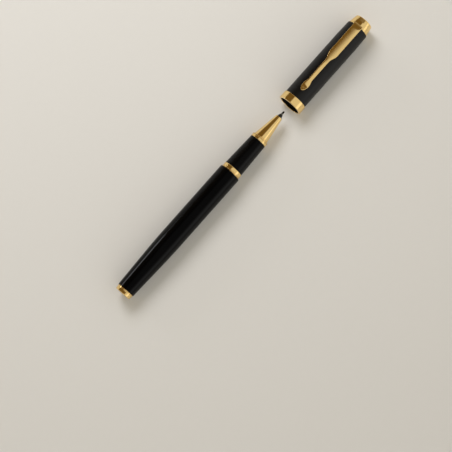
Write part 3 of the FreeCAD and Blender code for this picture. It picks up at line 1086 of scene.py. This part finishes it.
class PEN_OT_cap_trim(PenBuilder, bpy.types.Operator):
    """Build the plated mouth band, the crown and the collar that the clip hangs from"""

    bl_idname = "pen.cap_trim"
    bl_label = "Cap trim"

    def execute(self, context):
        s = sizes()
        mouth, seat, outer = span("cap_mouth_band")
        lip = span("cap_shell")[0]
        band = [
            (mouth, s.cap_bore, EASED),
            (mouth, outer, s.edge),
            (seat, outer, s.edge),
            (seat, s.cap_seat),
            (lip, s.cap_seat),
            (lip, s.cap_bore),
        ]
        turned("mouth_band_plated", band, "gold_plate", "cap", "cap_mouth_band")

        base, top, outer = span("cap_crown")
        screw_end = span("crown_screw")[1]
        shank = s.screw_shank
        rim = s.crown_top - s.crown_rim
        crown = [
            (screw_end, 0.0),
            (screw_end, shank),
            (base, shank),
            (base, outer, s.edge),
            (base + s.crown_side, outer - s.crown_lean, SWEPT),
            (top, s.crown_top, s.soft_edge),
            (top, rim, SOFT),
        ]
        for k in range(1, DISH_STEPS + 1):
            a = k / DISH_STEPS
            crown.append((top - s.crown_dish * (1 - (1 - a) ** 2), rim * (1 - a) * DISH_SHARE))
        crown[-1] = (top - s.crown_dish, 0.0)
        turned("crown_plated", crown, "gold_plate", "cap", "cap_crown")

        start, end, _ = span("clip_collar")
        disc, foot = 5.75 * MM, 4.9 * MM
        washer = [(start, shank), (start, disc, SOFT), (end, disc, SOFT), (end, shank)]
        turned("clip_collar_plated", washer, "gold_plate", "cap", "clip_collar")
        half, top = s.clip_tab / 2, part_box("clip_collar")[1][2]
        tab = block(
            "clip_tab_plated", (start, -half, foot), (end, half, top), SMOOTH,
            finish_of("gold_plate"),
        )
        dressed(tab, "cap", None)
        return {"FINISHED"}


def block(name, low, high, edge, material):
    """A bar with rounded edges."""
    work = bmesh.new()
    bmesh.ops.create_cube(work, size=1.0)
    low, high = Vector(low), Vector(high)
    for vert in work.verts:
        vert.co = Vector(low[i] + (high[i] - low[i]) * (vert.co[i] + 0.5) for i in range(3))
    bmesh.ops.bevel(
        work, geom=list(work.edges), offset=edge, segments=3, profile=0.5, affect="EDGES"
    )
    return placed(name, mesh_of(work, name, material))


# ---------------------------------------------------------------- clip

# Stations along the clip, measured from the cap's mouth.
TIP = 8.4 * MM
PAD = 11.8 * MM
BELLY = 12.4 * MM
NECK = 15.6 * MM
STEP = 28.2 * MM
SHOULDER = 33.1 * MM
BEND = 49.6 * MM

# The stem narrows by this share to its neck. The toe lifts and the root drops.
STEM_TAPER = 0.08
TOE_LIFT = 0.55 * MM
ROOT_DROP = 0.42 * MM

# The strip's crown and corners, and how it thins towards its tip.
STRIP_CROWN = 0.07 * MM
STRIP_CORNER = 0.2 * MM
CORNER_SHARE = 0.42
LEAST_HALF = 0.06 * MM
THIN_SHARE = 0.35
THIN_WIDTH = 0.9 * MM

CLIP_PITCH = 0.25 * MM
CLIP_TIP_STEPS = 22
CORNER_STEPS = 5


def ease(t):
    t = min(max(t, 0.0), 1.0)
    return t * t * (3 - 2 * t)


def clip_half_width(c, s, plate):
    """Half width of the clip at distance c from the cap's mouth: plate, stem, then spade."""
    stem = s.clip_stem / 2
    spade = s.clip_spade / 2
    if c >= STEP:
        return stem + (plate - stem) * ease((c - STEP) / (SHOULDER - STEP))
    if c >= NECK:
        return stem * (1 - STEM_TAPER * (STEP - c) / (STEP - NECK))
    if c >= BELLY:
        return spade + (stem * (1 - STEM_TAPER) - spade) * ease((c - BELLY) / (NECK - BELLY))
    return spade * math.sqrt(max(0.0, 1 - ((BELLY - c) / (BELLY - TIP)) ** 2))


def clip_under(c, low, root):
    """Height of the clip's underside: pad on the cap, straight stem, bend into the collar."""
    level = sizes().clip_lift
    if c < PAD:
        return low + TOE_LIFT * ease((PAD - c) / (PAD - TIP))
    if c < STEP:
        return low + (level - low) * ease((c - PAD) / (STEP - PAD))
    if c > BEND:
        return level - ROOT_DROP * ((c - BEND) / (root - BEND)) ** 2
    return level


def strip_ring(half, thick, crown, corner):
    """Cross-section (y, z) of the clip's strip, anticlockwise: flat below, crowned above."""
    ring = []
    centres = ((half, thick, 0), (-half, thick, 90), (-half, 0.0, 180), (half, 0.0, 270))
    for y, z, turn in centres:
        middle = (y - math.copysign(corner, y), z + (corner if z == 0.0 else -corner))
        for k in range(CORNER_STEPS + 1):
            a = math.radians(turn + 90 * k / CORNER_STEPS)
            ring.append((middle[0] + corner * math.cos(a), middle[1] + corner * math.sin(a)))
        flat = half - corner
        if turn == 0:
            ring += [(flat * k, thick) for k in (0.5, 0.0, -0.5)]
        if turn == 180:
            ring += [(flat * k, 0.0) for k in (-0.5, 0.0, 0.5)]
    return [(y, z - crown * (y / half) ** 2 * z / thick) for y, z in ring]


class PEN_OT_clip(PenBuilder, bpy.types.Operator):
    """Loft the sprung clip: a plate that steps in to a stem and ends in a smooth spade"""

    bl_idname = "pen.clip"
    bl_label = "Clip"

    def execute(self, context):
        s = sizes()
        low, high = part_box("clip_blade")
        mouth = span("cap_mouth_band")[0]
        plate = (high[1] - low[1]) / 2
        tip, root = low[0] - mouth, high[0] - mouth
        belly = tip + BELLY - TIP
        stations = [
            belly - (belly - tip) * math.cos(math.pi / 2 * k / CLIP_TIP_STEPS)
            for k in range(CLIP_TIP_STEPS)
        ]
        steps = round((root - belly) / CLIP_PITCH)
        stations += [belly + (root - belly) * k / steps for k in range(steps + 1)]
        work = bmesh.new()
        rings = []
        for c in stations:
            half = max(clip_half_width(c, s, plate), LEAST_HALF)
            thick = s.clip_thick * min(1.0, THIN_SHARE + half / THIN_WIDTH)
            corner = min(STRIP_CORNER, CORNER_SHARE * half, CORNER_SHARE * thick)
            under = clip_under(c, low[2], root)
            section = strip_ring(half, thick, STRIP_CROWN * min(1.0, half / plate), corner)
            rings.append([work.verts.new((mouth + c, y, under + z)) for y, z in section])
        for near, far in zip(rings, rings[1:]):
            for i in range(len(near)):
                j = (i + 1) % len(near)
                work.faces.new((near[i], near[j], far[j], far[i]))
        work.faces.new(rings[0])
        work.faces.new(rings[-1])
        clip = placed("clip_blade_plated", mesh_of(work, "clip", finish_of("gold_plate")))
        dressed(clip, "clip", "clip_blade")
        return {"FINISHED"}


# ---------------------------------------------------------------- parts kept from the frame

class PEN_OT_inner_parts(PenBuilder, bpy.types.Operator):
    """Give the inner parts that keep their own shape their materials"""

    bl_idname = "pen.inner_parts"
    bl_label = "Inner parts"

    def execute(self, context):
        kept = {
            "crown_nut": "inner_plastic",
            "crown_screw": "spring_steel",
            "refill_rear_plug": "refill_plastic",
            "ink_reservoir": "ink_fibre",
            "ink_feed": "ink_fibre",
        }
        for node, slot in kept.items():
            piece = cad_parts[node]
            if not piece.material_slots:
                raise RuntimeError(f"{node} has no material slot")
            for held in piece.material_slots:
                held.material = finish_of(slot)
        return {"FINISHED"}


# ---------------------------------------------------------------- stage

def compass(azimuth, elevation):
    """Unit vector from the pen towards a viewer at this azimuth and elevation."""
    flat = math.cos(elevation)
    return Vector((math.sin(azimuth) * flat, -math.cos(azimuth) * flat, math.sin(elevation)))


def lamp(name, direction, distance, size, power, tint, target):
    light = bpy.data.lights.new(name, "AREA")
    light.shape = "DISK"
    light.size = size
    light.energy = power
    light.color = linear(tint)[:3]
    item = bpy.data.objects.new(name, light)
    item.location = target + direction * distance
    item.rotation_euler = (-direction).to_track_quat("-Z", "Y").to_euler()
    bpy.context.scene.collection.objects.link(item)
    return item


def studio_floor():
    """Seamless studio paper: matt, pale and slightly mottled."""
    material, tree, shader, place = finish_material("seamless_paper")
    fibre = add(
        tree, "ShaderNodeTexNoise", {"Vector": place, "Scale": 1 / (2.5 * MM), "Detail": 4.0}
    )
    tone = add(
        tree, "ShaderNodeMix",
        {"Factor": fibre, "A": linear(colours().floor, 0.985), "B": linear(colours().floor)},
        data_type="RGBA",
    )
    fill(tree, shader, {"Base Color": tone, "Roughness": 0.85, "Specular IOR Level": 0.2})
    return material


# Edges of the studio's walls and panels. Leans are angles from straight up towards +Y.
FRONT_WALL = (math.radians(-64), math.radians(-54))
PANEL_NEAR = (math.radians(16), math.radians(24))
PANEL_FAR = (math.radians(73), math.radians(79))
SIDE_WALLS = (0.55, 0.85)
PANEL_STEP = (0.02, -0.2)
WALL_FOOT = (0.0, 0.13)

# Middle and half size of the window, along X and in lean.
WINDOW_ALONG = (-0.005, 0.068)
WINDOW_LEAN = (math.radians(72), math.radians(4))

WALL_LIGHT = "#DEDBD4"
FOOT_LIGHT = "#ADA79A"
FRONT_LIGHT = (1.1, 1.08, 1.04, 1.0)
PANEL_LIGHT = (0.16, 0.105, 0.035, 1.0)
WINDOW_LIGHT = (9.0, 9.1, 9.5, 1.0)


def studio_walls(strength):
    """Studio surroundings: pale walls, a brighter front, a brown panel and a narrow window."""
    world = bpy.data.worlds.new("studio")
    bpy.context.scene.world = world
    world.use_nodes = True
    tree = world.node_tree
    tree.nodes.clear()
    way = add(tree, "ShaderNodeTexCoord").outputs["Generated"]
    parts = add(tree, "ShaderNodeSeparateXYZ", {"Vector": way}).outputs
    lean = add(tree, "ShaderNodeMath", {0: parts["Y"], 1: parts["Z"]}, operation="ARCTAN2")
    # The panel's near edge runs askew and steps forward behind the tail.
    forward = add(
        tree, "ShaderNodeMapRange",
        {"Value": parts["X"], "From Min": PANEL_STEP[0], "From Max": PANEL_STEP[1], "To Min": 0.0,
         "To Max": 1.2},
    )
    askew = add(tree, "ShaderNodeMath", {0: parts["X"], 1: 1.05, 2: lean}, operation="MULTIPLY_ADD")
    slant = add(tree, "ShaderNodeMath", {0: askew, 1: forward}, operation="ADD")
    # Both panels end before the walls that stand square to the pen.
    aside = add(tree, "ShaderNodeMath", {0: parts["X"]}, operation="ABSOLUTE")
    reach = add(
        tree, "ShaderNodeMapRange",
        {"Value": aside, "From Min": SIDE_WALLS[0], "From Max": SIDE_WALLS[1], "To Min": 1.0,
         "To Max": 0.0},
        interpolation_type="SMOOTHSTEP",
    )
    front = add(
        tree, "ShaderNodeMapRange",
        {"Value": lean, "From Min": FRONT_WALL[0], "From Max": FRONT_WALL[1], "To Min": 1.0,
         "To Max": 0.0},
        interpolation_type="SMOOTHSTEP",
    )
    bright = add(tree, "ShaderNodeMath", {0: front, 1: reach}, operation="MULTIPLY")
    room = add(
        tree, "ShaderNodeMix",
        {"Factor": bright, "A": linear(WALL_LIGHT), "B": FRONT_LIGHT},
        data_type="RGBA",
    )
    opens = add(
        tree, "ShaderNodeMapRange",
        {"Value": slant, "From Min": PANEL_NEAR[0], "From Max": PANEL_NEAR[1]},
        interpolation_type="SMOOTHSTEP",
    )
    closes = add(
        tree, "ShaderNodeMapRange",
        {"Value": lean, "From Min": PANEL_FAR[0], "From Max": PANEL_FAR[1], "To Min": 1.0,
         "To Max": 0.0},
        interpolation_type="SMOOTHSTEP",
    )
    inside = add(tree, "ShaderNodeMath", {0: opens, 1: closes}, operation="MULTIPLY")
    panel = add(tree, "ShaderNodeMath", {0: inside, 1: reach}, operation="MULTIPLY")
    ceiling = add(
        tree, "ShaderNodeMix",
        {"Factor": panel, "A": room, "B": PANEL_LIGHT},
        data_type="RGBA",
    )
    # The window is seen only along the tapered tail, as a thin bright line.
    near = add(
        tree, "ShaderNodeMath",
        {0: parts["X"], 1: WINDOW_ALONG[0], 2: WINDOW_ALONG[1]}, operation="COMPARE",
    )
    level = add(
        tree, "ShaderNodeMath",
        {0: lean, 1: WINDOW_LEAN[0], 2: WINDOW_LEAN[1]}, operation="COMPARE",
    )
    window = add(tree, "ShaderNodeMath", {0: near, 1: level}, operation="MULTIPLY")
    lit = add(
        tree, "ShaderNodeMix",
        {"Factor": window, "A": ceiling, "B": WINDOW_LIGHT},
        data_type="RGBA",
    )
    # The foot of the walls fades into the far floor.
    foot = add(
        tree, "ShaderNodeMapRange",
        {"Value": parts["Z"], "From Min": WALL_FOOT[0], "From Max": WALL_FOOT[1]},
        interpolation_type="SMOOTHSTEP",
    )
    swept = add(
        tree, "ShaderNodeMix",
        {"Factor": foot, "A": linear(FOOT_LIGHT), "B": lit},
        data_type="RGBA",
    )
    sky = add(tree, "ShaderNodeBackground", {"Color": swept, "Strength": strength})
    add(tree, "ShaderNodeOutputWorld", {"Surface": sky})


KEY_AZIMUTH = math.radians(158)
KEY_ELEVATION = math.radians(48)
KEY_DISTANCE = 0.75
KEY_SIZE = 0.42
KEY_TINT = "#FDFCFF"

FLOOR_SIZE = 3.0
SENSOR = 36.0
NEAR_CLIP, FAR_CLIP = 0.01, 20.0


class PEN_OT_stage(PenBuilder, bpy.types.Operator):
    """Set the pale floor, the soft lights and the camera"""

    bl_idname = "pen.stage"
    bl_label = "Stage"

    def execute(self, context):
        stage = context.scene.pen_stage
        low, high = CAD_BOX
        work = bmesh.new()
        bmesh.ops.create_grid(work, x_segments=2, y_segments=2, size=FLOOR_SIZE)
        for vert in work.verts:
            vert.co.z = low.z
        mesh = mesh_of(work, "studio_floor", studio_floor())
        floor = bpy.data.objects.new("studio_floor", mesh)
        context.scene.collection.objects.link(floor)

        middle = Vector(((low.x + high.x) / 2, 0.0, 0.0))
        way = compass(KEY_AZIMUTH, KEY_ELEVATION)
        key = lamp("key_light", way, KEY_DISTANCE, KEY_SIZE, stage.key, KEY_TINT, middle)
        key.visible_glossy = False
        studio_walls(stage.sky)

        lens = bpy.data.cameras.new("camera")
        lens.lens = stage.focal
        lens.sensor_width = SENSOR
        lens.clip_start, lens.clip_end = NEAR_CLIP, FAR_CLIP
        camera = bpy.data.objects.new("camera", lens)
        back = compass(stage.azimuth, stage.elevation)
        beside = Vector((0.0, -1.0, 0.0))
        aim = Vector((stage.aim_along, 0.0, 0.0)) + beside * stage.aim_beside
        camera.location = aim + back * stage.distance
        camera.rotation_mode = "QUATERNION"
        camera.rotation_quaternion = (-back).to_track_quat("-Z", "Y")
        context.scene.collection.objects.link(camera)
        context.scene.camera = camera
        context.scene.view_settings.view_transform = "Standard"
        return {"FINISHED"}


# ---------------------------------------------------------------- add-on

OPERATORS = (
    PEN_OT_barrel,
    PEN_OT_tail,
    PEN_OT_spring,
    PEN_OT_section,
    PEN_OT_grip,
    PEN_OT_trim,
    PEN_OT_refill,
    PEN_OT_point,
    PEN_OT_cap,
    PEN_OT_cap_trim,
    PEN_OT_clip,
    PEN_OT_inner_parts,
    PEN_OT_stage,
)


class PEN_PT_panel(bpy.types.Panel):
    """Lists the pen's building steps and settings"""

    bl_idname = "PEN_PT_panel"
    bl_label = "Rollerball Pen"
    bl_space_type = "VIEW_3D"
    bl_region_type = "UI"
    bl_category = "Pen"

    def draw(self, context):
        for operator in OPERATORS:
            self.layout.operator(operator.bl_idname)
        for group in (context.scene.pen_sizes, context.scene.pen_colours, context.scene.pen_stage):
            box = self.layout.box()
            for name in group.__annotations__:
                box.prop(group, name)


GROUPS = {"pen_sizes": PenSizes, "pen_colours": PenColours, "pen_stage": PenStage}


def register():
    for cls in (*GROUPS.values(), *OPERATORS, PEN_PT_panel):
        bpy.utils.register_class(cls)
    for name, group in GROUPS.items():
        setattr(bpy.types.Scene, name, bpy.props.PointerProperty(type=group))


def unregister():
    for name in GROUPS:
        delattr(bpy.types.Scene, name)
    for cls in (PEN_PT_panel, *reversed(OPERATORS), *reversed(GROUPS.values())):
        bpy.utils.unregister_class(cls)


def main():
    register()
    for operator in OPERATORS:
        space, name = operator.bl_idname.split(".")
        getattr(getattr(bpy.ops, space), name)()


if __name__ == "__main__":
    main()
